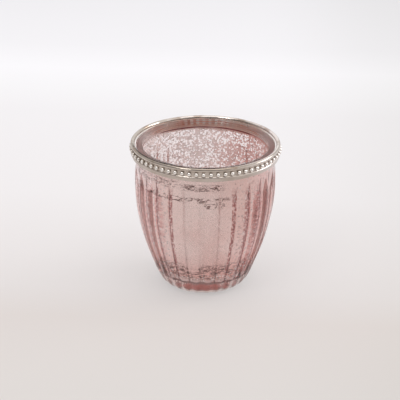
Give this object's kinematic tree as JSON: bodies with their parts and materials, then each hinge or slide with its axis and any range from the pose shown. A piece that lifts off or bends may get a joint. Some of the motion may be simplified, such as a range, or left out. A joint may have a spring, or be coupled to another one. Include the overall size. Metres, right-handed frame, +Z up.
{
  "type": "tealight holder",
  "caption": "Open round fluted glass cup on a heavy flat foot, silvered inside, with a beaded metal band round its lip, for standing a tealight in.",
  "frame": {"origin": "centre of the flat foot, on the surface that the holder stands on", "axes": "+Z up along the axis of the cup, +X to the right and +Y away from someone looking at its front"},
  "size_m": [0.08, 0.08, 0.08],
  "materials": {
    "pink_glass": "clear rose-tinted pressed glass, fire-polished",
    "mottled_silver": "thin silver film, mottled and flecked, with bare spots",
    "band_metal": "pale champagne metal, satin with burnished high spots"
  },
  "bodies": {
    "root": {"glass_cup": "pink_glass", "silvering": "mottled_silver", "rim_band": "band_metal"}
  },
  "joints": []
}
